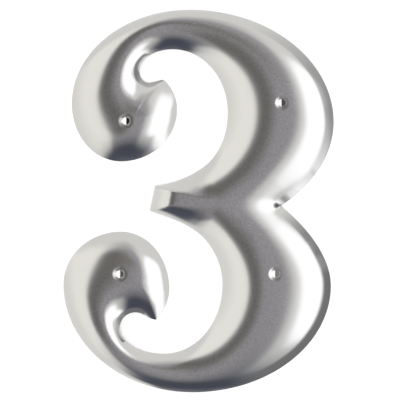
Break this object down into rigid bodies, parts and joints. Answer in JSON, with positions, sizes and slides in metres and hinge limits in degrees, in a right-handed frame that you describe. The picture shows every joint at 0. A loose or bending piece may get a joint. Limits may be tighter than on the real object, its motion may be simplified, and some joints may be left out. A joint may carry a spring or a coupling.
{
  "type": "embossed number tag",
  "caption": "Pressed aluminium house numeral in the form of a three, with a rounded embossed face, a hollow back and nail holes for fixing it to a door or gate.",
  "frame": {"origin": "middle of the numeral's outline, on the plane of its open back", "axes": "+Z out of the embossed face, +Y to the top of the numeral, +X to its right as it is read"},
  "size_m": [0.053, 0.075, 0.0045],
  "materials": {
    "aluminium": "satin pressed sheet, with brighter shoulders"
  },
  "bodies": {
    "root": {"numeral": "aluminium"}
  },
  "joints": []
}
